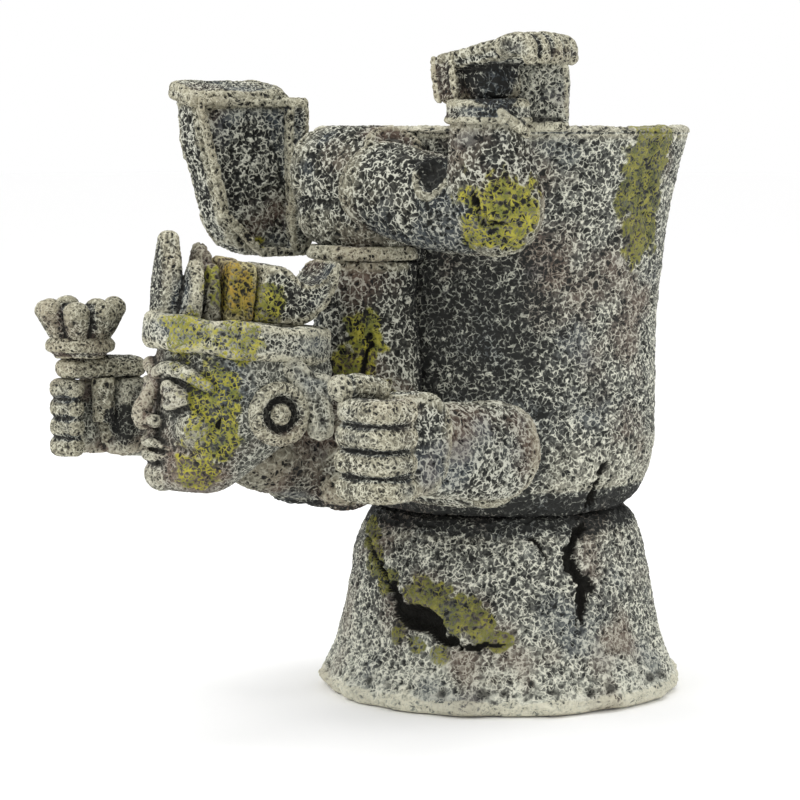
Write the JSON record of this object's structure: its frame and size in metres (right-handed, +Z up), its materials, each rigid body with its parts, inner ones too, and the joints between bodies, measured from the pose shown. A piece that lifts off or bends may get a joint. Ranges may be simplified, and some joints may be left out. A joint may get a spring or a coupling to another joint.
{
  "type": "tiki figure",
  "caption": "Footed stone-finish cup with an acrobat figure carved on its front, standing on its chest with fists out and soles up; an ornament that can hold a plant or candle.",
  "frame": {"origin": "centre of the pedestal's flat underside, on the vessel's axis", "axes": "+Z up along the vessel's axis; -Y the way the figure's chest and arms point; +X to the figure's left"},
  "size_m": [0.1212, 0.1554, 0.1572],
  "materials": {
    "weathered_stone": "matt, pitted, dry-brushed",
    "shadowed_stone": "matt, pitted, dark wash",
    "worn_pale_stone": "matt, worn pale on its edges",
    "mossy_stone": "matt, pitted, moss-coloured wash"
  },
  "bodies": {
    "root": {"pedestal": "weathered_stone", "cup": "weathered_stone", "chest": "weathered_stone", "torso": "weathered_stone", "belt": "worn_pale_stone", "hips": "weathered_stone", "neck": "shadowed_stone", "head": "weathered_stone", "headband": "worn_pale_stone", "front_feather": "worn_pale_stone", "rear_feather": "shadowed_stone", "feather_block": "mossy_stone", "horned_block": "worn_pale_stone", "left_ear_spool": "worn_pale_stone", "right_ear_spool": "worn_pale_stone", "left_ear_strap": "worn_pale_stone", "right_ear_strap": "worn_pale_stone", "left_upper_arm": "weathered_stone", "right_upper_arm": "weathered_stone", "left_forearm": "weathered_stone", "right_forearm": "weathered_stone", "left_palm": "weathered_stone", "right_palm": "weathered_stone", "left_fingers": "worn_pale_stone", "right_fingers": "worn_pale_stone", "left_thumb": "worn_pale_stone", "right_thumb": "worn_pale_stone", "sceptre_peg": "worn_pale_stone", "sceptre_collar": "worn_pale_stone", "sceptre_plume": "worn_pale_stone", "left_thigh": "weathered_stone", "right_thigh": "weathered_stone", "left_shin": "weathered_stone", "right_shin": "weathered_stone", "right_leg_panel": "worn_pale_stone", "left_ankle_cuff": "worn_pale_stone", "left_sandal": "weathered_stone", "right_sandal": "worn_pale_stone", "left_toes": "worn_pale_stone", "right_toes": "worn_pale_stone", "left_heel_strap": "worn_pale_stone", "left_sandal_flap": "worn_pale_stone", "right_sandal_flap": "weathered_stone"}
  },
  "joints": []
}
